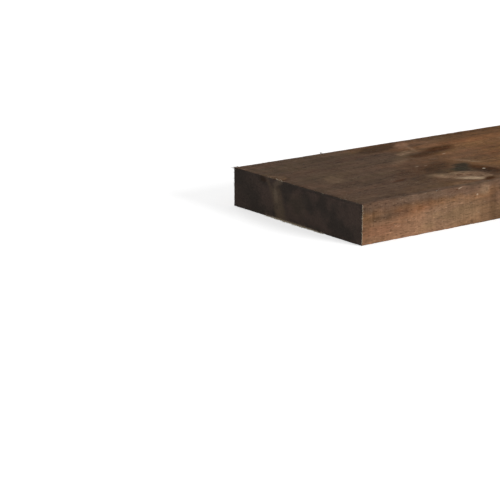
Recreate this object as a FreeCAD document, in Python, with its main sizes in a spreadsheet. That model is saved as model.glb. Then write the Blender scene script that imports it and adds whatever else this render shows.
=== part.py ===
import FreeCAD, Part
import Sketcher
import os

# A rough-sawn, brown-impregnated pine board: one piece of raw stock, lying flat.
#
# Frame: the origin is the centre of the bottom face. +X runs along the board's
# length and its grain, +Y across its width, and +Z up through its thickness.
# The section is a plain rectangle whose four long arrises are slightly rounded by
# the saw and by handling. Both ends are cross-cut square, with their edges broken.

OUT_FOLDER = "parts"

# Driving dimensions in millimetres: alias, value, what it is.
SIZES = (
    ("board_length", 1800, "stock length along the grain"),
    ("board_width", 200, "width of the two wide faces"),
    ("board_thickness", 40, "sawn thickness"),
    ("arris_radius", 1.2, "rounding of the four long edges"),
    ("end_chamfer", 0.6, "broken edge round each cross-cut end"),
)
ON_PLANE = 1e-6  # how near a point counts as lying on a plane, in millimetres
GROUND_LINE, MIDDLE_LINE = -1, -2  # a sketch's own horizontal and vertical axes
START, END = 1, 2  # the two ends of a sketch line


def make_sheet(doc):
    # One row for each driving dimension: its name, its value and its meaning.
    sheet = doc.addObject("Spreadsheet::Sheet", "Sizes")
    for row, (alias, value, meaning) in enumerate(SIZES, start=1):
        sheet.set(f"A{row}", alias)
        sheet.set(f"B{row}", str(value))
        sheet.setAlias(f"B{row}", alias)
        sheet.set(f"C{row}", meaning)
    doc.recompute()
    return sheet


def origin_plane(body, role):
    return next(f for f in body.Origin.OriginFeatures if f.Role == role)


def sketch_section(body, sheet):
    # The sawn section, looking along the grain: a rectangle that stands on the
    # ground line, centred on the board's middle.
    sketch = body.newObject("Sketcher::SketchObject", "section")
    sketch.AttachmentSupport = (origin_plane(body, "YZ_Plane"), [""])
    sketch.MapMode = "FlatFace"

    side, top = sheet.board_width / 2, sheet.board_thickness
    corners = [
        FreeCAD.Vector(-side, 0, 0),
        FreeCAD.Vector(side, 0, 0),
        FreeCAD.Vector(side, top, 0),
        FreeCAD.Vector(-side, top, 0),
    ]
    lines = [
        sketch.addGeometry(Part.LineSegment(corners[i], corners[(i + 1) % 4]), False)
        for i in range(4)
    ]
    for i, line in enumerate(lines):
        following = lines[(i + 1) % 4]
        sketch.addConstraint(Sketcher.Constraint("Coincident", line, END, following, START))

    # The base is level already: its ends mirror each other about the middle line.
    base, right, upper, left = lines
    sketch.addConstraint(Sketcher.Constraint("Horizontal", upper))
    sketch.addConstraint(Sketcher.Constraint("Vertical", right))
    sketch.addConstraint(Sketcher.Constraint("Vertical", left))
    sketch.addConstraint(Sketcher.Constraint("PointOnObject", base, START, GROUND_LINE))
    sketch.addConstraint(Sketcher.Constraint("Symmetric", base, START, base, END, MIDDLE_LINE))
    width = sketch.addConstraint(
        Sketcher.Constraint("DistanceX", base, START, base, END, 2 * side)
    )
    height = sketch.addConstraint(
        Sketcher.Constraint("DistanceY", right, START, right, END, top)
    )
    sketch.setExpression(f"Constraints[{width}]", "Sizes.board_width")
    sketch.setExpression(f"Constraints[{height}]", "Sizes.board_thickness")
    return sketch


def saw_to_length(body, sketch, doc):
    # The section run along the grain, half the stock length each way.
    pad = body.newObject("PartDesign::Pad", "sawn_length")
    pad.Profile = sketch
    pad.Midplane = True
    pad.setExpression("Length", "Sizes.board_length")
    sketch.Visibility = False
    doc.recompute()
    return pad


def edge_names(shape, wanted):
    return [f"Edge{i}" for i, edge in enumerate(shape.Edges, start=1) if wanted(edge)]


def round_arrises(body, pad, sheet, doc):
    # The four edges as long as the board.
    arrises = edge_names(
        pad.Shape, lambda edge: abs(edge.Length - sheet.board_length) < ON_PLANE
    )
    fillet = body.newObject("PartDesign::Fillet", "rounded_arrises")
    fillet.Base = (pad, arrises)
    fillet.setExpression("Radius", "Sizes.arris_radius")
    doc.recompute()
    return fillet


def break_end_edges(body, fillet, sheet, doc):
    # Every edge that lies in one of the two cross-cut end planes.
    end = sheet.board_length / 2

    def in_an_end_plane(edge):
        return all(abs(abs(v.Point.x) - end) < ON_PLANE for v in edge.Vertexes)

    # An arris runs from one end plane to the other, so its length rules it out.
    outline = edge_names(
        fillet.Shape,
        lambda edge: in_an_end_plane(edge) and edge.Length < sheet.board_length - ON_PLANE,
    )
    chamfer = body.newObject("PartDesign::Chamfer", "broken_end_edges")
    chamfer.Base = (fillet, outline)
    chamfer.setExpression("Size", "Sizes.end_chamfer")
    doc.recompute()
    return chamfer


def make_board(doc, sheet):
    body = doc.addObject("PartDesign::Body", "board")
    body.Label = "board"
    sketch = sketch_section(body, sheet)
    pad = saw_to_length(body, sketch, doc)
    fillet = round_arrises(body, pad, sheet, doc)
    break_end_edges(body, fillet, sheet, doc)
    body.Placement = FreeCAD.Placement()
    return body


def check(doc, subparts):
    doc.recompute()
    failed = [o.Name for o in doc.Objects if {"Invalid", "Error"} & set(o.State)]
    if failed:
        raise SystemExit(f"these objects failed: {failed}")
    for subpart in subparts:
        shape = subpart.Shape
        if shape.isNull() or not shape.isValid() or len(shape.Solids) != 1:
            raise SystemExit(f"{subpart.Label} isn't one valid solid")


def write_steps(subparts):
    os.makedirs(OUT_FOLDER, exist_ok=True)
    for subpart in subparts:
        subpart.Shape.exportStep(os.path.join(OUT_FOLDER, subpart.Label + ".step"))
        box = subpart.Shape.BoundBox
        print(
            f"{subpart.Label}: {box.XLength:.1f} x {box.YLength:.1f} x {box.ZLength:.1f} mm,"
            f" {subpart.Shape.Volume / 1e6:.3f} litres"
        )


doc = FreeCAD.newDocument("PineBoard")
sizes = make_sheet(doc)
subparts = [make_board(doc, sizes)]
check(doc, subparts)
write_steps(subparts)
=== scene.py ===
import math

import bpy
import numpy as np
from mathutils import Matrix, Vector


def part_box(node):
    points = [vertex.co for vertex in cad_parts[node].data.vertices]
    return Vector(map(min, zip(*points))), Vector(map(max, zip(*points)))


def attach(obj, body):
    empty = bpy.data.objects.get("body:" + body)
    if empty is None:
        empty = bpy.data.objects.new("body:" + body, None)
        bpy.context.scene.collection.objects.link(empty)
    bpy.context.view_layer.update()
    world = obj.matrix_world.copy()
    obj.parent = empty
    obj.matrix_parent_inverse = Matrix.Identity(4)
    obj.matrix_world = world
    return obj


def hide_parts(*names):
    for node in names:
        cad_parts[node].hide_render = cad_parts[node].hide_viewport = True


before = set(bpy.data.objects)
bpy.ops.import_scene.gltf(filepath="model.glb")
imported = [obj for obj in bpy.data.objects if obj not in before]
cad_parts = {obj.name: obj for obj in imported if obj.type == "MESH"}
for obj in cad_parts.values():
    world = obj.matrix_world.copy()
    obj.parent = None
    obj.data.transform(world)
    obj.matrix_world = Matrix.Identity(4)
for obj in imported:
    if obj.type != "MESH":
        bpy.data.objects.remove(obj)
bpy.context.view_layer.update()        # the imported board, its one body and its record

# All sizes of the wood below are in millimetres, measured along the board from the end
# that faces the camera, across it from its front edge, and up from its underside.
mm = 0.001
lowCorner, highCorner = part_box("board")
boardSize = np.array(highCorner - lowCorner) / mm
boardLength, boardWidth, boardThickness = boardSize
print("frame: board of", [round(float(side), 1) for side in boardSize], "mm")


class Flow:
    # A number that flows through a material's nodes: each sum or product adds a Math node.
    # The formulas below take either such a number or an array, so that the shape and the
    # colour of the wood come from the same ones.
    def __init__(self, net, socket):
        self.net = net
        self.socket = socket

    def through(self, operation, *others):
        node = self.net.nodes.new("ShaderNodeMath")
        node.operation = operation
        for place, value in zip(node.inputs, (self, *others)):
            plug(self.net, value, place)
        return Flow(self.net, node.outputs[0])

    def __add__(self, other):
        return self.through("ADD", other)

    def __sub__(self, other):
        return self.through("SUBTRACT", other)

    def __mul__(self, other):
        return self.through("MULTIPLY", other)

    def __truediv__(self, other):
        return self.through("DIVIDE", other)

    def __rsub__(self, other):
        return self * -1 + other

    __radd__ = __add__
    __rmul__ = __mul__


def plug(net, value, place):
    # Gives an input of a node its value: a flow is linked to it, a plain number is set on it.
    if isinstance(value, Flow):
        net.links.new(value.socket, place)
    else:
        place.default_value = value


def root(value):
    # Square root, of a flow or an array.
    return value.through("SQRT") if isinstance(value, Flow) else np.sqrt(value)


def atLeast(value, least):
    # The larger of the two.
    return value.through("MAXIMUM", least) if isinstance(value, Flow) else np.maximum(value, least)


def ramp(value, start, end):
    # Nought at start, one at end, and three t squared less two t cubed between them.
    if isinstance(value, Flow):
        node = value.net.nodes.new("ShaderNodeMapRange")
        node.interpolation_type = "SMOOTHSTEP"
        for place, given in zip(node.inputs, (value, start, end)):
            plug(value.net, given, place)
        return Flow(value.net, node.outputs[0])
    t = np.clip((value - start) / (end - start), 0, 1)
    return t * t * (3 - 2 * t)


tree = {
    "pithAcross": 72,      # where the heart of the log runs, outside the board
    "pithBelow": 128,
    "driftAcross": 0.012,  # how far it strays for each millimetre along the board
    "driftUp": 0.021,
    "sway": 46,            # how far the rings wander across, up, and ripple on their own
    "rise": 30,
    "ripple": 5,
    "branchRipple": 0.45,
    "ringWidth": 4.6,
    "ringJoin": 16,        # how softly a branch's rings join the trunk's
    "lateWood": (0.25, 0.88, 0.92),  # shares of a ring where it darkens, is dark and pales
    "partingStretch": 0.42,  # fibres part round a knot in a lens, this share as wide as long
    "partingReach": (3.2, 0.7),  # from nothing to fully, in shares of the knot's radius
    "parting": 0.72,       # the share taken off their distance from its middle line there
    "barkInner": (0.96, 1.06),  # where bark starts and ends, in shares of a knot's radius
    "barkOuter": (2.1, 1.3),
    "splitKnot": 1,        # the branch below that the near end's cut goes through
    # Each branch: where it comes out of the top face, its radius there, how far it slopes
    # along the board, how pale its wood is, how dark its rim, and how much bark clings to
    # it and on which side, as a turn from the board's length.
    "knots": [
        {"along": 165, "across": 32, "radius": 20.5, "slope": 0.42,
         "pale": 0.80, "rim": 0.12, "bark": 0.5, "barkTurn": 60},
        {"along": 4, "across": 136, "radius": 12, "slope": 0.02,
         "pale": 0.35, "rim": 0.5, "bark": 0.0, "barkTurn": 0},
        {"along": 618, "across": 128, "radius": 15, "slope": 0.38,
         "pale": 0.45, "rim": 0.7, "bark": 0.7, "barkTurn": 200},
        {"along": 655, "across": 52, "radius": 9, "slope": 0.30,
         "pale": 0.2, "rim": 0.9, "bark": 0.3, "barkTurn": 40},
        {"along": 1108, "across": 78, "radius": 17, "slope": 0.40,
         "pale": 0.5, "rim": 0.6, "bark": 0.8, "barkTurn": -60},
        {"along": 1152, "across": 170, "radius": 10, "slope": 0.35,
         "pale": 0.3, "rim": 0.9, "bark": 0.4, "barkTurn": 130},
        {"along": 1590, "across": 118, "radius": 13, "slope": 0.36,
         "pale": 0.2, "rim": 0.8, "bark": 0.6, "barkTurn": 20},
    ],
}


def pithAt(along):
    # The heart of the log is a straight line: its place at the near end plus its drift.
    across = along * tree["driftAcross"] + tree["pithAcross"]
    return across, along * tree["driftUp"] - tree["pithBelow"]


def knotShare(knot, along, across, up):
    # A branch is a cone whose point lies on the pith. This is the distance from the
    # cone's axis over the cone's radius at that depth: one on its bark, nought at its core.
    startAlong = knot["along"] - knot["slope"] * (boardThickness + tree["pithBelow"])
    startAcross, startUp = pithAt(startAlong)
    axis = np.array([
        knot["along"] - startAlong, knot["across"] - startAcross, boardThickness - startUp,
    ])
    reach = float(np.linalg.norm(axis))
    axis = axis / reach
    fromStart = (along - startAlong, across - startAcross, up - startUp)
    run = sum(part * float(toward) for part, toward in zip(fromStart, axis))
    aside = root(sum(part * part for part in fromStart) - run * run)
    return aside * reach / (atLeast(run, 1) * knot["radius"])


sawnBoard = {
    "arris": 0.8,          # how far the long edges are rounded
    "endEdge": 0.45,       # and the edges of the two cross-cut ends
    "edgeCell": 0.42,      # mesh cell at the very edges
    "faceCell": 2.7,       # across the wide faces
    "sideCell": 2.2,       # up the narrow sides
    "endCell": 2.1,        # along the grain near the ends
    "middleCell": 11,      # and in the middle of the length
    "endReach": 5,         # how far in from the edges the cells reach their full size
    "faceReach": 6,
    "sideReach": 5,
    "fineReach": (260, 500),  # this far from an end they grow to the middle's size
    "sawWave": 0.16,       # waves that the band saw left across the long faces
    "sawSlant": (0.05, 0.11),  # how far they lean along for each millimetre across and up
    "endWave": 0.13,       # and arcs of the cross-cut saw on the ends
    "cutCentre": (-60, -190),  # the middle of those arcs, across and up
    "unevenness": 0.32,
    "ridges": 0.10,
    "fuzz": 0.10,
    "knotRise": 0.45,
    "wavering": 0.38,      # how much the edges' rounding wavers
    "raggedness": 0.45,    # how much a chip's depth varies, and over what length
    "raggedSize": 2.3,
    "chipReach": 9,        # a chip is nearer than this to both faces
    "handling": 0.14,      # how bare all edges are
    "seed": 41,
    # Each noise: its step from the seed, and its size along, across and up.
    "noises": {
        "waver": (0, 26, 17, 17), "fineWaver": (1, 7, 6, 9), "wave": (3, 8.5, 400, 90),
        "fineWave": (4, 3.4, 150, 60), "uneven": (5, 170, 55, 55), "ridges": (6, 48, 4.2, 4.2),
        "fuzz": (7, 3.1, 2.6, 2.3), "endWave": (8, 3.6, 220, 220),
    },
    # Edges whose stained fibres broke away, and edges painted pale as highlights: arris, where
    # along it, half length, how far the pale wood reaches in from each of its two faces, and how pale
    # it is.
    "bareAndLit": [
        # nearFront is a painted highlight: pale colour standing in for light along the near upright
        # arris. nearBottom is partly torn fibres and partly a painted highlight on the near end's
        # lower edge.
        ("nearFront", 20, 27, 1.4, 0.4, 0.55), ("nearBottom", 104, 44, 0.6, 1.9, 1.0),
        ("bottomBack", 760, 45, 1.2, 1.6, 0.8), ("topBack", 1310, 26, 1.8, 1.4, 0.8),
        ("farTop", 60, 14, 1.0, 1.3, 0.8), ("topFront", 905, 50, 1.4, 1.2, 0.6),
        ("bottomFront", 1400, 55, 1.6, 1.2, 0.8), ("farBack", 18, 16, 0.9, 1.2, 0.7),
    ],
    "chips": [  # arris, where along it, half length, how deep: edges knocked in handling
        ("nearTop", 133, 11, 2.4), ("nearTop", 88, 16, 1.3), ("nearTop", 40, 9, 0.8),
        ("nearTop", 176, 6, 0.9), ("nearFront", 20, 26, 0.5), ("nearBottom", 104, 44, 0.6),
        ("topFront", 178, 15, 1.0), ("topFront", 90, 55, 0.9), ("topBack", 236, 9, 0.7),
        ("topBack", 520, 40, 1.5), ("topFront", 905, 55, 1.9), ("topBack", 1310, 26, 2.2),
        ("bottomFront", 330, 30, 1.2), ("bottomFront", 1400, 60, 2.2),
        ("bottomBack", 760, 45, 2.0), ("topFront", 1725, 22, 1.7),
        ("farTop", 60, 12, 1.9), ("farTop", 150, 20, 1.1), ("farBottom", 95, 28, 1.5),
    ],
}


def scatter(whole, seed):
    # A fixed random number from 0 to 1 for each whole coordinate: large odd numbers
    # times the coordinates, mixed by exclusive or and shifts.
    mixed = np.full(whole[0].shape, seed * 2654435761 % 2**32, dtype=np.uint64)
    for part, factor in zip(whole, (73856093, 19349663, 83492791)):
        mixed ^= (part.astype(np.int64) + 100000).astype(np.uint64) * np.uint64(factor)
        mixed = (mixed ^ (mixed >> np.uint64(13))) * np.uint64(1274126177)
        mixed &= np.uint64(0xFFFFFFFF)
    return ((mixed ^ (mixed >> np.uint64(16))) & np.uint64(0xFFFFFF)) / float(0xFFFFFF)


def softNoise(seed, *coordinates):
    # Smooth noise from -1 to 1: the scattered numbers at the eight whole coordinates
    # around a point, weighed by the smooth step of its distance from each.
    whole = [np.floor(part) for part in coordinates]
    share = [ramp(part - base, 0, 1) for part, base in zip(coordinates, whole)]
    total = 0
    for corner in range(8):
        steps = [(corner >> axis) & 1 for axis in range(3)]
        weight = 1
        for step, part in zip(steps, share):
            weight = weight * (part if step else 1 - part)
        total = total + weight * scatter([b + s for b, s in zip(whole, steps)], seed)
    return total * 2 - 1


def latticeLines(length, cellAt):
    # Lines stand at equal steps of the running sum of one over the wanted cell.
    fine = np.linspace(0, length, 20001)
    density = 1 / cellAt(np.minimum(fine, length - fine))
    total = np.concatenate([[0], np.cumsum((density[1:] + density[:-1]) / 2 * np.diff(fine))])
    return np.interp(np.linspace(0, total[-1], int(total[-1]) + 1), total, fine)


def latticeBox(lines):
    # The outside of a box of cells. Each lattice point on the outside is numbered once,
    # so the six faces share their border points and the skin is closed.
    counts = [len(line) for line in lines]
    outside = np.zeros(counts, bool)
    for axis in range(3):
        inFront = np.moveaxis(outside, axis, 0)
        inFront[0] = inFront[-1] = True
    number = np.full(counts, -1)
    number[outside] = np.arange(outside.sum())
    points = np.stack(np.meshgrid(*lines, indexing="ij"), -1)[outside]
    faces = []
    for axis in range(3):
        for end in (0, -1):
            grid = np.moveaxis(number, axis, 0)[end]
            quads = np.stack([grid[:-1, :-1], grid[1:, :-1], grid[1:, 1:], grid[:-1, 1:]], -1)
            turned = (end == 0) != (axis == 1)
            faces.append(quads.reshape(-1, 4)[:, ::-1] if turned else quads.reshape(-1, 4))
    return points, faces


def arrisPlaces(points):
    # For each arris by name: the coordinate that runs along it, and the distances from the
    # two faces that meet there.
    along, across, up = points.T
    far, back, high = boardLength - along, boardWidth - across, boardThickness - up
    return {
        "nearTop": (across, along, high), "nearBottom": (across, along, up),
        "nearFront": (up, along, across), "nearBack": (up, along, back),
        "farTop": (across, far, high), "farBottom": (across, far, up),
        "farFront": (up, far, across), "farBack": (up, far, back),
        "topFront": (along, across, high), "topBack": (along, back, high),
        "bottomFront": (along, across, up), "bottomBack": (along, back, up),
    }


def skinNoise(name, along, across, up):
    # Smooth noise at a place over the noise's own size in each direction.
    step, length, width, height = sawnBoard["noises"][name]
    return softNoise(sawnBoard["seed"] + step, along / length, across / width, up / height)


def edgeRounding(points):
    # The long arrises' radius, less at the ends, wavering by noise, plus a bell for each chip.
    along, across, up = points.T
    shape = sawnBoard
    toEnd = np.minimum(along, boardLength - along)
    radius = shape["endEdge"] + (shape["arris"] - shape["endEdge"]) * ramp(toEnd, 0.5, 5)
    waver = skinNoise("waver", along, across, up)
    waver += 0.6 * skinNoise("fineWaver", along, across, up)
    radius = radius * (1 + shape["wavering"] * waver)
    places = arrisPlaces(points)
    for arris, place, half, deep in shape["chips"]:
        run, first, second = places[arris]
        nearBy = (first < shape["chipReach"]) & (second < shape["chipReach"])
        torn = softNoise(shape["seed"] + 2, run / shape["raggedSize"], up * 0, along * 0 + place)
        ragged = 1 + shape["raggedness"] * torn
        radius += nearBy * deep * ragged * np.exp(-np.abs((run - place) / half) ** 3)
    return radius


def roundedSkin(points, radius):
    # Each point is pulled back to the box less its radius, then pushed out by the radius
    # along the line between the two places, so that edges and corners come out round.
    reach = radius[:, None]
    inner = np.clip(points, reach, boardSize - reach)
    away = points - inner
    outward = away / np.linalg.norm(away, axis=1, keepdims=True)
    return inner + outward * reach, outward


def sawnRelief(points, outward):
    # How far the skin stands out, in millimetres: waves of the saw across the long faces,
    # arcs of the cross-cut saw on the ends, slow unevenness, raised grain and fuzz along
    # the fibres, and a low swelling with a torn rim at each knot.
    shape = sawnBoard
    along, across, up = points.T
    endFace = ramp(np.abs(outward[:, 0]), 0.5, 0.9)
    topFace = ramp(outward[:, 2], 0.4, 0.9)
    slant = along + (across * shape["sawSlant"][0] + up * shape["sawSlant"][1])
    wave = skinNoise("wave", slant, across, up) + 0.45 * skinNoise("fineWave", slant, across, up)
    cutArc = np.hypot(across - shape["cutCentre"][0], up - shape["cutCentre"][1])
    endWave = skinNoise("endWave", cutArc, across, up)
    ridges = skinNoise("ridges", along, across, up)
    relief = (1 - endFace) * (shape["sawWave"] * wave + shape["ridges"] * ridges)
    relief += endFace * shape["endWave"] * endWave
    relief += shape["unevenness"] * (skinNoise("uneven", along, across, up) - 1) * 0.5
    relief += shape["fuzz"] * skinNoise("fuzz", along, across, up)
    for knot in tree["knots"]:
        share = knotShare(knot, along, across, up)
        swelling = np.exp(-(share / 0.85) ** 2) - 1.1 * np.exp(-((share - 1.12) / 0.2) ** 2)
        relief += shape["knotRise"] * swelling * (0.4 + 0.6 * topFace) * (1 - endFace)
    return relief


def arrisWearAndHighlight(points, outward):
    # How bare the wood is, with painted highlights along some arrises: a little wherever the
    # skin turns between two faces, and along each listed stretch a bell of the distances from its two
    # faces.
    turned = (1 - np.abs(outward).max(1)) / (1 - math.sqrt(0.5))
    wearAndHighlight = turned * sawnBoard["handling"]
    places = arrisPlaces(points)
    for arris, place, half, firstReach, secondReach, bareAndLit in sawnBoard["bareAndLit"]:
        run, first, second = places[arris]
        away = (first / firstReach) ** 2 + (second / secondReach) ** 2
        wearAndHighlight = np.maximum(wearAndHighlight, bareAndLit * np.exp(-away - np.abs((run - place) / half) ** 6))
    return wearAndHighlight


def bakeLayout(faces, points):
    # The flat layout of the skin: the four long faces lie one above the other, as wide as
    # the map, and the two ends share the top row. Two of the three lattice coordinates
    # give the place in each strip.
    strips = {  # face number: (coordinate across the map, coordinate up it, left, right, low, high)
        5: (0, 1, 0.0, 1.0, 0.00, 0.35), 4: (0, 1, 0.0, 1.0, 0.36, 0.59),
        2: (0, 2, 0.0, 1.0, 0.60, 0.74), 3: (0, 2, 0.0, 1.0, 0.75, 0.86),
        0: (1, 2, 0.0, 0.495, 0.87, 1.00), 1: (1, 2, 0.505, 1.0, 0.87, 1.00),
    }
    layout = []
    for index, quads in enumerate(faces):
        acrossMap, upMap, left, right, low, high = strips[index]
        share = points[quads.reshape(-1)] / boardSize
        layout.append(np.stack([
            left + (right - left) * share[:, acrossMap], low + (high - low) * share[:, upMap],
        ], -1))
    return np.concatenate(layout)


def meshFrom(name, points, faces, material):
    # Fills a mesh from whole arrays: points in metres, faces of four corners each.
    mesh = bpy.data.meshes.new(name)
    mesh.vertices.add(len(points))
    mesh.vertices.foreach_set("co", points.astype(np.float32).ravel())
    mesh.loops.add(faces.size)
    mesh.loops.foreach_set("vertex_index", faces.astype(np.int32).ravel())
    mesh.polygons.add(len(faces))
    mesh.polygons.foreach_set("loop_start", np.arange(0, faces.size, 4, dtype=np.int32))
    mesh.update(calc_edges=True)
    mesh.validate()
    mesh.shade_smooth()
    mesh.materials.append(material)
    piece = bpy.data.objects.new(name, mesh)
    bpy.context.scene.collection.objects.link(piece)
    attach(piece, "root")
    return piece


def addAttribute(mesh, name, values):
    # One number for each point, for the material to read.
    held = mesh.attributes.new(name, "FLOAT", "POINT")
    held.data.foreach_set("value", values.astype(np.float32))


def placed(points):
    # From the board's own millimetres to the frame's metres.
    return points * mm + np.array(lowCorner)


def makeBoard(material):
    # The skin of a lattice box, rounded at its edges and moved outwards by the relief. Cells
    # grow from the edges inwards, and along the middle of the length.
    shape = sawnBoard

    def cellTo(full, toEdge, reach):
        return shape["edgeCell"] + (full - shape["edgeCell"]) * ramp(toEdge, 0, reach)

    def lengthCell(toEnd):
        cell = cellTo(shape["endCell"], toEnd, shape["endReach"])
        return cell + (shape["middleCell"] - shape["endCell"]) * ramp(toEnd, *shape["fineReach"])

    lines = [
        latticeLines(boardLength, lengthCell),
        latticeLines(boardWidth, lambda toEdge: cellTo(shape["faceCell"], toEdge, shape["faceReach"])),
        latticeLines(
            boardThickness, lambda toEdge: cellTo(shape["sideCell"], toEdge, shape["sideReach"])),
    ]
    lattice, faces = latticeBox(lines)
    skin, outward = roundedSkin(lattice, edgeRounding(lattice))
    skin = skin + outward * sawnRelief(skin, outward)[:, None]
    skin[:, 2] = np.maximum(skin[:, 2], 0)
    piece = meshFrom("sawnBoard", placed(skin), np.concatenate(faces), material)
    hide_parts("board")
    addAttribute(piece.data, "arrisWearAndHighlight", arrisWearAndHighlight(lattice, outward))
    addAttribute(piece.data, "endGrain", ramp(np.abs(outward[:, 0]), 0.55, 0.85))
    layout = piece.data.uv_layers.new(name="OFBake")
    layout.data.foreach_set("uv", bakeLayout(faces, lattice).astype(np.float32).ravel())
    print("board:", len(lattice), "points,", 2 * sum(map(len, faces)), "triangles")
    return piece


looseFibres = {
    "rings": (0, 0.3, 0.6, 0.85, 1),   # places along a sliver where it has a ring of corners
    "flatness": 0.55,
    "taper": (0.93, 0.7),              # the share of its width it loses, and to what power
    "sunk": 0.35,                      # how deep its foot stands in the wood
    "footSpread": 0.15,
    "curl": 0.35,
    "stray": 0.225,
    "widthSpread": (0.6, 1.3),
    "toneSpread": 0.12,
    "standOut": (3.6, 3.2, 2.0),       # the furthest one may stand out of the board's box
    "clearance": 0.02,                 # above the floor
    "seed": 7,
    # Each bunch: arris, from, to, how many, shortest and longest, half width, its lean along
    # the arris and out of the two faces, and its tone from stained to fresh.
    "bunches": [
        # The near end's bottom fringe: pale fresh slivers, partly torn fibres and partly a painted
        # highlight on an edge the lamps leave in shade.
        ("nearBottom", 56, 148, 300, 1.2, 3.6, 0.18, (0.9, 0.42, 0.0), 1.0),
        ("nearBottom", 84, 136, 90, 1.5, 4.5, 0.22, (-0.9, 0.5, 0.0), 0.95),
        ("nearBottom", 8, 14, 5, 1.0, 2.2, 0.20, (0.4, 0.8, 0.0), 0.9),
        ("nearBottom", 150, 198, 26, 0.8, 2.2, 0.14, (0.5, 0.7, 0.0), 0.25),
        ("nearTop", 188, 199.5, 9, 2.5, 6.0, 0.20, (0.8, 0.75, 0.02), 0.05),
        ("nearBack", 20, 39, 8, 1.0, 2.6, 0.20, (0.3, 0.8, 0.5), 0.1),
        ("nearTop", 116, 146, 36, 1.0, 3.0, 0.17, (0.3, 0.7, 0.4), 0.3),
        ("nearTop", 5, 110, 34, 0.7, 1.8, 0.14, (0.7, 0.6, 0.1), 0.3),
        ("nearFront", 1, 39, 70, 0.8, 2.4, 0.13, (0.8, 0.2, 0.35), 0.9),
        ("topBack", 111, 115, 7, 2.0, 3.4, 0.26, (0.25, 0.2, 0.95), 0.10),
        ("topBack", 1, 7, 9, 3.0, 6.5, 0.22, (-0.95, 0.05, 0.16), 0.12),
        ("topBack", 1286, 1334, 46, 2.0, 7.0, 0.20, (0.9, 0.25, 0.25), 0.7),
        ("topFront", 20, 1780, 90, 1.2, 5.0, 0.15, (0.95, 0.2, 0.1), 0.45),
        ("topBack", 20, 1780, 90, 1.2, 5.0, 0.15, (-0.95, 0.2, 0.1), 0.3),
        ("topFront", 860, 955, 50, 2.0, 7.5, 0.20, (-0.95, 0.2, 0.15), 0.7),
        ("bottomFront", 20, 1780, 90, 1.5, 6.0, 0.16, (0.95, 0.2, 0.0), 0.5),
        ("bottomBack", 20, 1780, 80, 1.5, 6.0, 0.16, (-0.95, 0.2, 0.0), 0.45),
        ("bottomBack", 720, 800, 60, 2.0, 8.0, 0.20, (0.95, 0.25, 0.0), 0.9),
        ("bottomFront", 1348, 1452, 60, 2.0, 8.0, 0.20, (0.95, 0.25, 0.0), 0.8),
        ("farTop", 46, 76, 40, 1.0, 3.4, 0.17, (0.4, 0.8, 0.2), 0.8),
        ("farBottom", 30, 180, 150, 1.2, 4.0, 0.17, (-0.8, 0.55, 0.0), 0.85),
        ("farBack", 2, 36, 40, 0.8, 2.4, 0.14, (0.8, 0.3, 0.3), 0.7),
    ],
}


def arrisFrames():
    # For each arris by name: where it starts, which way it runs, and the way out of each of
    # the two faces that meet there. A name's first word picks the end or the level.
    east, north, high = np.eye(3)
    length, width, thickness = boardSize * np.eye(3)
    frames = {}
    for endName, endPlace, endOut in (("near", length * 0, -east), ("far", length, east)):
        frames[endName + "Top"] = endPlace + thickness, north, endOut, high
        frames[endName + "Bottom"] = endPlace, north, endOut, -high
        frames[endName + "Front"] = endPlace, high, endOut, -north
        frames[endName + "Back"] = endPlace + width, high, endOut, north
    for levelName, level, levelOut in (("top", thickness, high), ("bottom", thickness * 0, -high)):
        frames[levelName + "Front"] = level, east, -north, levelOut
        frames[levelName + "Back"] = level + width, east, north, levelOut
    return frames


def unit(vectors):
    # Vectors over their lengths.
    return vectors / np.linalg.norm(vectors, axis=-1, keepdims=True)


def sliverSkins(feet, directions, curls, lengths, widths):
    # A sliver's middle line is its foot, plus its direction times the share of its length,
    # plus its curl times that share squared. Its half width falls as one less the taper times
    # the share, to a power. Each ring has four corners, so a whole sliver has 18 faces.
    share = np.array(looseFibres["rings"])[None, :, None]
    middle = directions[:, None] * share + curls[:, None] * share ** 2
    middle = feet[:, None] + middle * lengths[:, None, None]
    aside = unit(np.cross(directions, directions[:, [1, 2, 0]] + 0.01))
    upward = np.cross(directions, aside) * looseFibres["flatness"]
    loss, power = looseFibres["taper"]
    half = widths[:, None, None] * (1 - share * loss) ** power
    corners = [middle + half * side[:, None] for side in (aside, upward, -aside, -upward)]
    points = np.stack(corners, 2).reshape(-1, 3)
    rings = share.shape[1]
    ring, corner = np.meshgrid(np.arange(rings - 1), np.arange(4), indexing="ij")
    following = (corner + 1) % 4
    low, high = ring * 4, ring * 4 + 4
    walls = np.stack([low + corner, low + following, high + following, high + corner], -1)
    last = rings * 4
    caps = [[3, 2, 1, 0], [last - 4, last - 3, last - 2, last - 1]]
    faces = np.concatenate([walls.reshape(-1, 4), caps])
    return points, (faces[None] + np.arange(len(feet))[:, None, None] * last).reshape(-1, 4)


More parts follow.
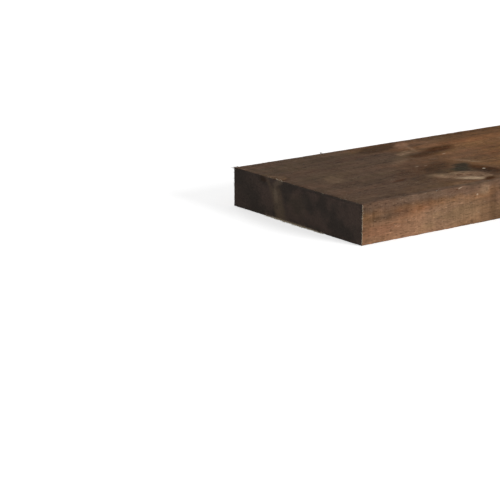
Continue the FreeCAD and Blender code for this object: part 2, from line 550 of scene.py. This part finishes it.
def makeLooseFibres(material):
    # Each sliver's foot is a random place along its arris, a little inside the wood, and its
    # direction is the bunch's lean over the arris's own three directions, plus a stray.
    shape = looseFibres
    frames = arrisFrames()
    draw = np.random.default_rng(shape["seed"])
    gathered = []
    for arris, start, end, count, shortest, longest, half, lean, tone in shape["bunches"]:
        corner, runWay, firstOut, secondOut = frames[arris]
        run = draw.uniform(start, end, count)[:, None]
        inward = (firstOut + secondOut) * shape["sunk"]
        way = lean[0] * runWay + lean[1] * firstOut + lean[2] * secondOut
        gathered.append((
            corner + runWay * run - inward + draw.uniform(-1, 1, (count, 3)) * shape["footSpread"],
            unit(way + draw.normal(0, shape["stray"], (count, 3))),
            draw.normal(0, shape["curl"], (count, 3)),
            draw.uniform(shortest, longest, count),
            half * draw.uniform(*shape["widthSpread"], count),
            np.clip(tone + draw.normal(0, shape["toneSpread"], count), 0, 1),
        ))
    feet, directions, curls, lengths, widths, tones = map(np.concatenate, zip(*gathered))
    points, faces = sliverSkins(feet, directions, curls, lengths, widths)
    # a sliver that stands out too far is shortened in the same ratio
    beyond = (np.abs(points - boardSize / 2) - boardSize / 2) / np.array(shape["standOut"])
    furthest = beyond.reshape(len(feet), -1).max(1)
    points, faces = sliverSkins(feet, directions, curls, lengths / np.maximum(furthest, 1), widths)
    points[:, 2] = np.maximum(points[:, 2], shape["clearance"])
    piece = meshFrom("looseFibres", placed(points), faces, material)
    addAttribute(piece.data, "paleTone", np.repeat(tones, len(points) // len(feet)))
    print("loose fibres:", len(feet), "slivers,", 2 * len(faces), "triangles")
    return piece


# Each noise in the wood: its size along the grain, across it and up, in millimetres, how far
# it is shifted along in its own sizes, its detail and its roughness.
woodNoises = {
    "sway": (260, 110, 110, 0, 1, 0.5),
    "rise": (210, 80, 120, 7, 1, 0.5),
    "ripple": (55, 15, 15, 0, 1, 0.5),
    "bands": (120, 15, 17, 0, 3, 0.5),
    "hues": (85, 13, 22, 3, 2, 0.55),
    "streaks": (75, 2.8, 3.2, 0, 3, 0.6),
    "threads": (13, 0.9, 0.9, 0, 2, 0.6),
    "patches": (105, 38, 38, 0, 3, 0.55),
    "mottle": (15, 11, 9, 0, 2, 0.5),
    "grit": (4.6, 2.4, 2.2, 0, 2, 0.6),
    "fuzz": (3.2, 0.8, 0.8, 0, 1, 0.5),
    "dashes": (6.5, 2.6, 1.5, 17, 1, 0.5),
    "tufts": (30, 16, 12, 5, 2, 0.5),
    "pits": (4.2, 1.3, 1.3, 31, 1, 0.5),
    "saw": (1.3, 90, 30, 0, 1, 0.6),
    "sawBands": (8, 90, 50, 0, 2, 0.5),
    "endTone": (30, 26, 16, 0, 2, 0.5),
    "sliver": (1.6, 1.6, 1.6, 0, 2, 0.6),
}


woodFinish = {
    "warm": "#845d3d",
    "grey": "#5f4b3c",
    "umber": "#4a3421",
    "wing": "#4a2c14",
    "soot": "#2c2b23",
    "orange": "#8e6a51",
    "dun": "#6c5646",
    "pale": "#967a60",
    "bright": "#cbb092",
    "fibre": "#ccb79d",
    "freshWood": "#f0e2c8",
    "end": "#6e5e56",
    "endDark": "#59504a",
    "endPale": "#8c7865",
    "endBright": "#a8937d",
    "russetTint": (1.12, 0.96, 0.92),
    "oliveTint": (0.94, 1.01, 0.88),
    # How strongly each of these colours the stain, as a share from nought to one.
    "mottled": 0.4,
    "russet": 0.5,
    "olive": 0.5,
    "knotWood": 0.85,
    "knotHeart": 0.4,
    "bareAndLit": 0.9,
    # Pale raised fibres, partly painted highlights where they catch the light: how much they lighten
    # the wood.
    "whiskersAndGlints": (0.04, 0.22),  # everywhere, and more where the fibres stand in tufts
    # How far each of these darkens and lightens the wood.
    "ringDepth": 0.13,
    "bandDepth": 1.15,
    "streakDepth": 0.50,
    "threadDepth": 0.62,
    "gritDepth": 0.52,
    "sawBandDepth": 0.5,
    "sawDepth": 0.25,
    "pitDepth": 0.30,
    # Painted highlights and shadows: light dashes where small raised fibres catch light, dark dashes
    # where they shade the wood.
    "dashDepth": (0.30, 0.34),  # lighter and darker dashes
    "endShare": {"rings": 0.35, "bands": 0.2, "streaks": 0.2, "threads": 0.5},
    "brightness": 1.04,
    "roughness": 0.90,
    "specular": 0.02,
    "bump": 0.8,
    # How high each of these stands, in millimetres.
    "heights": {
        "threads": 0.3, "streaks": 0.3, "rings": 0.06, "fuzz": 0.4, "grit": 0.5,
        "saw": 0.25, "sawBands": 0.5, "pits": 0.35,
    },
    "stainDepth": 9,        # how deep under its face a stain reaches
    # Stains under the knots, then marks over them, among which are painted highlights and shadows
    # of raised fibres: face, where along and aside, half length and half width, turn in degrees,
    # colour, strength.
    "stains": [
        ("top", 20, 110, 180, 190, 0, "grey", 0.95),
        ("top", 330, 120, 120, 95, 0, "warm", 0.85),
        ("top", 178, 183, 38, 15, 14, "umber", 0.9),
        ("top", 207, 180, 22, 8, 50, "orange", 0.75),
        ("top", 206, 164, 22, 3, 66, "pale", 0.4),
        ("top", 234, 166, 24, 10, 30, "orange", 0.35),
        ("top", 330, 186, 70, 16, 0, "umber", 0.45),
        ("top", 60, 172, 78, 34, 0, "soot", 0.16),
        ("top", 184, 149, 15, 6, 24, "pale", 0.5),
        ("top", 160, 126, 34, 8, 34, "pale", 0.28),
        ("top", 227, 144, 28, 11, 14, "wing", 1.0),
        ("top", 192, 131, 24, 8, -4, "wing", 0.75),
        ("top", 236, 117, 30, 14, 22, "orange", 0.25),
        ("top", 44, 96, 20, 11, 45, "pale", 0.25),
        ("top", 166, 80, 30, 14, 32, "umber", 0.85),
        ("top", 199, 47, 27, 11, 100, "wing", 1.0),
        ("top", 184, 63, 24, 10, 44, "soot", 0.85),
        ("top", 211, 82, 18, 5, -62, "pale", 0.4),
        ("top", 128, 68, 42, 22, 45, "umber", 0.35),
        ("top", 149, 42, 20, 11, -24, "pale", 1.0),
        ("top", 140, 9, 26, 9, 4, "orange", 0.5),
        ("front", 95, 11, 115, 17, 3, "orange", 0.9),
        ("front", 112, 16, 46, 14, 4, "pale", 0.38),
        ("front", 16, 14, 26, 17, 0, "grey", 0.16),
        ("front", 20, 42, 62, 13, 6, "grey", 0.85),
        ("front", 110, 40, 95, 11, 0, "dun", 0.95),
        ("front", 156, 33, 7, 6, 0, "pale", 0.6),
        ("front", 14, 26, 1.8, 8, 0, "umber", 0.55),
        ("front", 168, 20, 5, 24, 0, "umber", 0.3),
    ],
    "marks": [
        ("top", 183, 32, 12, 13, 0, "grey", 0.35),
        ("top", 159, 20, 14, 5, -40, "bright", 0.6),
        ("top", 158, 38, 4, 2.5, 0, "umber", 0.6),
        ("top", 173, 11, 9, 4, 20, "wing", 1.0),
        ("top", 199, 46, 1.8, 1.3, 0, "freshWood", 0.8),
        ("top", 216, 123, 2.6, 1.0, 12, "fibre", 0.35),
        ("top", 188, 110, 5, 0.9, -30, "fibre", 0.35),
        ("top", 150, 92, 2.6, 0.9, 8, "fibre", 0.4),
        ("top", 160, 90, 2.2, 0.8, -6, "fibre", 0.35),
        ("top", 94, 55, 9, 3, 10, "wing", 0.7),
        # Painted highlights with painted shadows under them: pale specks where raised fibres on the
        # front catch the light, each with a dark speck just below.
        ("front", 123, 38.5, 2.6, 0.6, 14, "fibre", 0.5),
        ("front", 119, 37.6, 1.6, 0.6, 0, "wing", 0.7),
        ("front", 146, 29, 1.3, 0.8, 0, "fibre", 0.5),
        ("front", 143, 27.5, 1.2, 0.8, 0, "wing", 0.6),
    ],
    "endMarks": [
        ("nearEnd", 178, 20, 22, 26, 0, "endDark", 0.7),
        ("nearEnd", 131, 24, 3.5, 8, -12, "endBright", 0.5),
        ("nearEnd", 142, 34, 8, 2.6, 56, "endPale", 0.45),
        ("nearEnd", 127, 37, 9, 3, 160, "endBright", 0.4),
        ("nearEnd", 152, 37, 6, 3, 0, "umber", 0.5),
        # A painted shadow: a dark line just under the top arris of the near end, across most of its
        # width.
        ("nearEnd", 60, 38.4, 52, 1.5, 0, "endDark", 0.8),
        ("nearEnd", 96, 20, 15, 11, 0, "endPale", 0.22),
    ],
}


def paint(hexColour):
    # A written colour as the light it stands for: each share to the power of 2.2, nearly.
    shares = [int(hexColour[i:i + 2], 16) / 255 for i in (1, 3, 5)]
    linear = [s / 12.92 if s <= 0.04045 else ((s + 0.055) / 1.055) ** 2.4 for s in shares]
    return (*linear, 1.0)


def tint(shares):
    # Three shares that a colour is multiplied by, with the alpha that the node expects.
    return (*shares, 1.0)


def woodNoise(net, name, along, across, up):
    # Blender's noise at a place over the noise's own size in each direction.
    length, width, height, shift, detail, rough = woodNoises[name]
    start = along / length + shift if shift else along / length
    joined = net.nodes.new("ShaderNodeCombineXYZ")
    for place, part in zip(joined.inputs, (start, across / width, up / height)):
        plug(net, part, place)
    cloud = net.nodes.new("ShaderNodeTexNoise")
    cloud.inputs["Scale"].default_value = 1.0
    cloud.inputs["Detail"].default_value = detail
    cloud.inputs["Roughness"].default_value = rough
    net.links.new(joined.outputs[0], cloud.inputs["Vector"])
    return Flow(net, cloud.outputs["Fac"])


def blend(net, share, first, second, way="MIX"):
    # One colour over another, by a share from nought to one.
    mixer = net.nodes.new("ShaderNodeMix")
    mixer.data_type = "RGBA"
    mixer.blend_type = way
    plug(net, share, mixer.inputs["Factor"])
    plug(net, first, mixer.inputs[6])
    plug(net, second, mixer.inputs[7])
    return Flow(net, mixer.outputs[2])


def readAttribute(net, name):
    # The number that the mesh holds at each of its points.
    reader = net.nodes.new("ShaderNodeAttribute")
    reader.attribute_name = name
    return Flow(net, reader.outputs["Fac"])


def woodPlace(net):
    # Object coordinates turned into millimetres along, across and up, as one vector and as
    # three numbers.
    coordinates = net.nodes.new("ShaderNodeTexCoord")
    mapping = net.nodes.new("ShaderNodeMapping")
    mapping.vector_type = "TEXTURE"
    mapping.inputs["Location"].default_value = lowCorner
    mapping.inputs["Scale"].default_value = (mm, mm, mm)
    net.links.new(coordinates.outputs["Object"], mapping.inputs["Vector"])
    parts = net.nodes.new("ShaderNodeSeparateXYZ")
    net.links.new(mapping.outputs[0], parts.inputs[0])
    return mapping.outputs[0], [Flow(net, output) for output in parts.outputs]


def ringTime(net, along, across, up):
    # Distance from the wandering pith, joined by a smooth minimum to each branch's own
    # time, which is its share of the radius times that distance.
    sway = woodNoise(net, "sway", along, across, up) - 0.5
    rise = woodNoise(net, "rise", along, across, up) - 0.5
    ripple = woodNoise(net, "ripple", along, across, up) - 0.5
    pithAcross, pithUp = pithAt(along)
    aside = across - pithAcross + sway * tree["sway"]
    above = up - pithUp + rise * tree["rise"]
    time = root(aside * aside + above * above) + ripple * tree["ripple"]
    shares = []
    for knot in tree["knots"]:
        share = knotShare(knot, along, across, up) + ripple * tree["branchRipple"]
        shares.append(share)
        time = time.through("SMOOTH_MIN", share * time, tree["ringJoin"])
    return time, shares


def fibreLine(along, across):
    # The fibres part round each knot: the distance from its centre line is shrunk near it,
    # so a line of equal value bulges outwards there.
    line = across
    for knot in tree["knots"]:
        fromAlong = (along - knot["along"]) * tree["partingStretch"]
        fromAcross = across - knot["across"]
        away = root(fromAlong * fromAlong + fromAcross * fromAcross) / knot["radius"]
        line = line - fromAcross * ramp(away, *tree["partingReach"]) * tree["parting"]
    return line


def stained(net, colour, stain, place, wobble):
    # A soft-edged leaning blot around a point of one face: how far from its middle, with
    # the distance along each of its own three directions over its half size that way.
    face, run, aside, halfRun, halfAside, turn, paintName, strength = stain
    deep = woodFinish["stainDepth"]
    middle, half, axis = {
        "top": ((run, aside, boardThickness), (halfRun, halfAside, deep), (0, 0, 1)),
        "front": ((run, 0, aside), (halfRun, deep, halfAside), (0, -1, 0)),
        "nearEnd": ((0, run, aside), (deep, halfRun, halfAside), (1, 0, 0)),
    }[face]
    mapping = net.nodes.new("ShaderNodeMapping")
    mapping.vector_type = "TEXTURE"
    mapping.inputs["Location"].default_value = middle
    mapping.inputs["Rotation"].default_value = Vector(axis) * math.radians(turn)
    mapping.inputs["Scale"].default_value = half
    net.links.new(place, mapping.inputs["Vector"])
    length = net.nodes.new("ShaderNodeVectorMath")
    length.operation = "LENGTH"
    net.links.new(mapping.outputs[0], length.inputs[0])
    away = Flow(net, length.outputs["Value"]) + wobble
    return blend(net, ramp(away, 1.35, 0.45) * strength, colour, paint(woodFinish[paintName]))


def barkShare(knot, share, along, across):
    # A dark crescent outside the knot, on the side where the bark grew in.
    turn = math.radians(knot["barkTurn"])
    toward = (along - knot["along"]) * math.cos(turn) + (across - knot["across"]) * math.sin(turn)
    ring = ramp(share, *tree["barkInner"]) * ramp(share, *tree["barkOuter"])
    return ring * ramp(toward / knot["radius"], 0.1, 1.0) * knot["bark"]


def stainedColour(net, place, at, noise, knotShares):
    # The stain: warm where it is thin, grey and umber where it stayed on the surface, with
    # the stains and marks of this board and its knots laid over it in turn.
    look = woodFinish
    along, across, _ = at
    colour = blend(net, ramp(noise["patches"], 0.38, 0.64), paint(look["warm"]), paint(look["grey"]))
    dark = ramp(noise["mottle"], 0.50, 0.76) * look["mottled"]
    colour = blend(net, dark, colour, paint(look["umber"]))
    wobble = (noise["mottle"] - 0.5) * 0.8
    for stain in look["stains"]:
        colour = stained(net, colour, stain, place, wobble)
    for knot, share in zip(tree["knots"], knotShares):
        inside = ramp(share, 1.02, 0.90)
        rim = ramp(share, 0.80, 1.0) * ramp(share, 1.35, 1.08)
        heart = ramp(share, 0.2, 0.06)
        wood = blend(net, knot["pale"], paint(look["umber"]), paint(look["pale"]))
        if knot["bark"]:
            bark = barkShare(knot, share, along, across)
            colour = blend(net, bark, colour, paint(look["soot"]))
        colour = blend(net, inside * look["knotWood"], colour, wood)
        dark = rim * knot["rim"] + heart * look["knotHeart"]
        colour = blend(net, dark, colour, paint(look["umber"]))
    for mark in look["marks"]:
        colour = stained(net, colour, mark, place, wobble)
    redder = ramp(noise["hues"], 0.50, 0.68) * look["russet"]
    greener = ramp(noise["hues"], 0.50, 0.34) * look["olive"]
    colour = blend(net, redder, colour, tint(look["russetTint"]), "MULTIPLY")
    return blend(net, greener, colour, tint(look["oliveTint"]), "MULTIPLY")


def endColour(net, place, at, noise, knotShares):
    # End grain drinks more stain. A branch that the saw split shows there as a pale spike,
    # which fades towards the top.
    look = woodFinish
    tone = woodNoise(net, "endTone", *at)
    colour = blend(net, ramp(tone, 0.38, 0.62), paint(look["end"]), paint(look["endDark"]))
    spike = ramp(knotShares[tree["splitKnot"]] + (noise["grit"] - 0.5) * 0.8, 1.15, 0.45)
    spike = spike * ramp(noise["threads"] + noise["tufts"], 0.72, 1.05) * ramp(at[2], 37, 27) * 0.8
    colour = blend(net, spike, colour, paint(look["endPale"]))
    # The end's marks, among them a painted shadow under its top arris.
    wobble = noise["mottle"] + noise["grit"] - 1
    for mark in look["endMarks"]:
        colour = stained(net, colour, mark, place, wobble)
    return colour


def grainShade(noise, late, pits, endGrain):
    # A product of one plus each noise, less its middle, times its depth. Depths that follow
    # the grain shrink on the ends to their share there, and saw marks and dashes to nothing.
    # The dashes are painted highlights and shadows of small raised fibres.
    look = woodFinish
    longFace = 1 - endGrain

    def kept(name):
        return longFace * (1 - look["endShare"][name]) + look["endShare"][name]

    rings = late * ramp(noise["tufts"], 0.35, 0.6) * kept("rings") * look["ringDepth"]
    shade = (1 - rings) * look["brightness"]
    shade = shade * ((noise["bands"] - 0.5) * look["bandDepth"] * kept("bands") + 1)
    shade = shade * ((noise["streaks"] - 0.5) * look["streakDepth"] * kept("streaks") + 1)
    shade = shade * ((noise["threads"] - 0.5) * look["threadDepth"] * kept("threads") + 1)
    shade = shade * ((noise["grit"] - 0.5) * look["gritDepth"] + 1)
    shade = shade * ((noise["sawBands"] - 0.5) * look["sawBandDepth"] * longFace + 1)
    shade = shade * ((noise["saw"] - 0.5) * look["sawDepth"] * longFace + 1)
    shade = shade * (1 - pits * look["pitDepth"])
    # Painted highlights and shadows: light dashes where small raised fibres catch the light, dark
    # dashes where they shade the wood.
    lighter, darker = look["dashDepth"]
    dashes = ramp(noise["dashes"], 0.60, 0.72) * lighter - ramp(noise["dashes"], 0.40, 0.28) * darker
    return shade * (dashes * longFace + 1)


def treatedPine():
    # The stain's colour times the grain's shade and its painted dashes of light and shadow, with
    # bare fibres and painted edge highlights over both. The bump is the sum of the same noises, each
    # times its height.
    look = woodFinish
    material = bpy.data.materials.new("treatedPine")
    material.use_nodes = True
    net = material.node_tree
    shader = net.nodes["Principled BSDF"]
    place, at = woodPlace(net)
    along, across, up = at

    time, knotShares = ringTime(net, along, across, up)
    line = fibreLine(along, across)
    slant = along + across * sawnBoard["sawSlant"][0] + up * sawnBoard["sawSlant"][1]
    noise = {"bands": woodNoise(net, "bands", along, line, time)}
    noise["streaks"] = woodNoise(net, "streaks", along, line, time)
    for name in ("hues", "threads", "patches"):
        noise[name] = woodNoise(net, name, along, line, up)
    for name in ("mottle", "grit", "fuzz", "dashes", "tufts", "pits"):
        noise[name] = woodNoise(net, name, along, across, up)
    for name in ("saw", "sawBands"):
        noise[name] = woodNoise(net, name, slant, across, up)
    darkens, dark, pales = tree["lateWood"]
    phase = (time / tree["ringWidth"]).through("FRACT")
    late = ramp(phase, darkens, dark) * ramp(phase, 1.0, pales)
    pits = ramp(noise["pits"], 0.62, 0.74)
    endGrain = readAttribute(net, "endGrain")
    wearAndHighlight = readAttribute(net, "arrisWearAndHighlight")

    colour = stainedColour(net, place, at, noise, knotShares)
    cut = endColour(net, place, at, noise, knotShares)
    colour = blend(net, ramp(endGrain, 0.2, 0.8), colour, cut)
    shade = grainShade(noise, late, pits, endGrain)
    grey = net.nodes.new("ShaderNodeCombineColor")
    for channel in grey.inputs:
        plug(net, shade, channel)
    colour = blend(net, 1.0, colour, Flow(net, grey.outputs[0]), "MULTIPLY")
    # Pale raised fibres lighten the colour in specks, partly as painted highlights where fibres catch
    # the light.
    few, more = look["whiskersAndGlints"]
    whiskersAndGlints = ramp(noise["fuzz"], 0.62, 0.78) * (ramp(noise["tufts"], 0.42, 0.64) * more + few)
    # How pale each edge is painted: bare wood where it is worn, and painted highlights along the near
    # upright arris and, in part, along the near end's lower edge.
    wornAndLit = wearAndHighlight + (noise["grit"] - 0.5) * 0.4 + (noise["fuzz"] - 0.5) * 0.25
    colour = blend(net, whiskersAndGlints, colour, paint(look["fibre"]))
    torn = blend(net, ramp(wearAndHighlight, 0.6, 0.95), paint(look["fibre"]), paint(look["freshWood"]))
    colour = blend(net, ramp(wornAndLit, 0.16, 0.9) * look["bareAndLit"], colour, torn)
    net.links.new(colour.socket, shader.inputs["Base Color"])

    roughness = (noise["fuzz"] - 0.5) * 0.15 + look["roughness"]
    net.links.new(roughness.socket, shader.inputs["Roughness"])
    shader.inputs["Specular IOR Level"].default_value = look["specular"]

    high = look["heights"]
    height = late * high["rings"] - pits * high["pits"]
    for name in ("threads", "streaks", "fuzz", "grit"):
        height = height + noise[name] * high[name]
    sawn = noise["saw"] * high["saw"] + noise["sawBands"] * high["sawBands"]
    height = height + sawn * (1 - endGrain)
    bump = net.nodes.new("ShaderNodeBump")
    bump.inputs["Strength"].default_value = look["bump"]
    bump.inputs["Distance"].default_value = mm
    net.links.new(height.socket, bump.inputs["Height"])
    net.links.new(bump.outputs["Normal"], shader.inputs["Normal"])
    print("finish: treated pine,", len(net.nodes), "nodes")
    return material


def fibreFinish():
    # From stained wood to fresh wood by each sliver's tone, mottled by noise.
    look = woodFinish
    material = bpy.data.materials.new("fibreFinish")
    material.use_nodes = True
    net = material.node_tree
    shader = net.nodes["Principled BSDF"]
    _, at = woodPlace(net)
    paleTone = readAttribute(net, "paleTone") + (woodNoise(net, "sliver", *at) - 0.5) * 0.5
    colour = blend(net, ramp(paleTone, 0.05, 0.95), paint(look["umber"]), paint(look["freshWood"]))
    net.links.new(colour.socket, shader.inputs["Base Color"])
    shader.inputs["Roughness"].default_value = 0.85
    shader.inputs["Specular IOR Level"].default_value = 0.06
    return material


studio = {
    "keyFrom": (0.30, -0.89, 0.28),   # towards the key light, seen from the board
    "keyStrength": 0.86,
    "keySoftness": 24,
    "fillFrom": (0.35, 0.90, 0.20),
    "fillStrength": 0.28,
    "roomLight": 0.34,
    "floorColour": 0.80,
    "floorSeen": 0.62,                # share of the floor's white that is its own
    "floorBounce": 0.25,
    "floorHalf": 9.0,
}

camera = {
    "swing": -36.73,      # to the left of looking straight at the front edge
    "down": 15.09,
    "distance": 1.591,    # metres from the lens to the point aimed at
    "aimBeforeEnd": 90.1, # that point lies on the floor, this far outside the near end
    "aimFromFront": 52.0,
    "lens": 124.8,
}


def seenRay(net):
    # One for what the lens, a reflection or a refraction looks at, and nought for light.
    path = net.nodes.new("ShaderNodeLightPath")
    rays = [Flow(net, path.outputs[name]) for name in (
        "Is Camera Ray", "Is Glossy Ray", "Is Transmission Ray")]
    return rays[0].through("MAXIMUM", rays[1]).through("MAXIMUM", rays[2])


def makeWorld():
    # White where it is seen, and as strong as the room's light for everything else.
    world = bpy.data.worlds.new("studioRoom")
    bpy.context.scene.world = world
    world.use_nodes = True
    net = world.node_tree
    background = net.nodes["Background"]
    background.inputs["Color"].default_value = (1, 1, 1, 1)
    strength = seenRay(net) * (1 - studio["roomLight"]) + studio["roomLight"]
    net.links.new(strength.socket, background.inputs["Strength"])


def makeFloor():
    # Seen, the floor is white with the board's soft shadow. It sends back only a little
    # light, so that the board's side and end keep their own depth of shade.
    material = bpy.data.materials.new("studioFloor")
    material.use_nodes = True
    net = material.node_tree
    shader = net.nodes["Principled BSDF"]
    seen = seenRay(net)
    shader.inputs["Roughness"].default_value = 1.0
    shader.inputs["Specular IOR Level"].default_value = 0.0
    tone = seen * (studio["floorColour"] - studio["floorBounce"]) + studio["floorBounce"]
    grey = net.nodes.new("ShaderNodeCombineColor")
    for place in grey.inputs:
        plug(net, tone, place)
    net.links.new(grey.outputs[0], shader.inputs["Base Color"])
    shader.inputs["Emission Color"].default_value = (1, 1, 1, 1)
    net.links.new((seen * studio["floorSeen"]).socket, shader.inputs["Emission Strength"])
    half = studio["floorHalf"]
    mesh = bpy.data.meshes.new("floor")
    corners = [(-half, -half, 0), (half, -half, 0), (half, half, 0), (-half, half, 0)]
    mesh.from_pydata(corners, [], [(0, 1, 2, 3)])
    mesh.materials.append(material)
    floor = bpy.data.objects.new("floor", mesh)
    bpy.context.scene.collection.objects.link(floor)


def makeLamp(name, toward, strength, softness):
    # A broad far lamp: at a strength of one, a face square to it shows its colour as written.
    lamp = bpy.data.lights.new(name, "SUN")
    lamp.energy = strength * math.pi
    lamp.angle = math.radians(softness)
    holder = bpy.data.objects.new(name, lamp)
    holder.rotation_euler = Vector(toward).to_track_quat("Z", "Y").to_euler()
    holder.location = Vector(toward) * 3
    bpy.context.scene.collection.objects.link(holder)


def makeCamera():
    # The lens stands off the point it is aimed at by its distance, in the direction that is
    # swung about the upright and tipped up from the level.
    lens = bpy.data.cameras.new("camera")
    lens.lens = camera["lens"]
    lens.sensor_width = 36
    swing, down = math.radians(camera["swing"]), math.radians(camera["down"])
    back = Vector((
        math.sin(swing) * math.cos(down), -math.cos(swing) * math.cos(down), math.sin(down),
    ))
    aim = Vector(lowCorner) + Vector((-camera["aimBeforeEnd"], camera["aimFromFront"], 0)) * mm
    holder = bpy.data.objects.new("camera", lens)
    holder.location = aim + back * camera["distance"]
    holder.rotation_euler = back.to_track_quat("Z", "Y").to_euler()
    bpy.context.scene.collection.objects.link(holder)
    bpy.context.scene.camera = holder


makeCamera()
makeWorld()
makeFloor()
makeLamp("key", studio["keyFrom"], studio["keyStrength"], studio["keySoftness"])
makeLamp("fill", studio["fillFrom"], studio["fillStrength"], studio["keySoftness"])
bpy.context.scene.view_settings.view_transform = "Standard"
print("studio: camera, floor and lamps")

pine = treatedPine()
makeBoard(pine)
makeLooseFibres(fibreFinish())
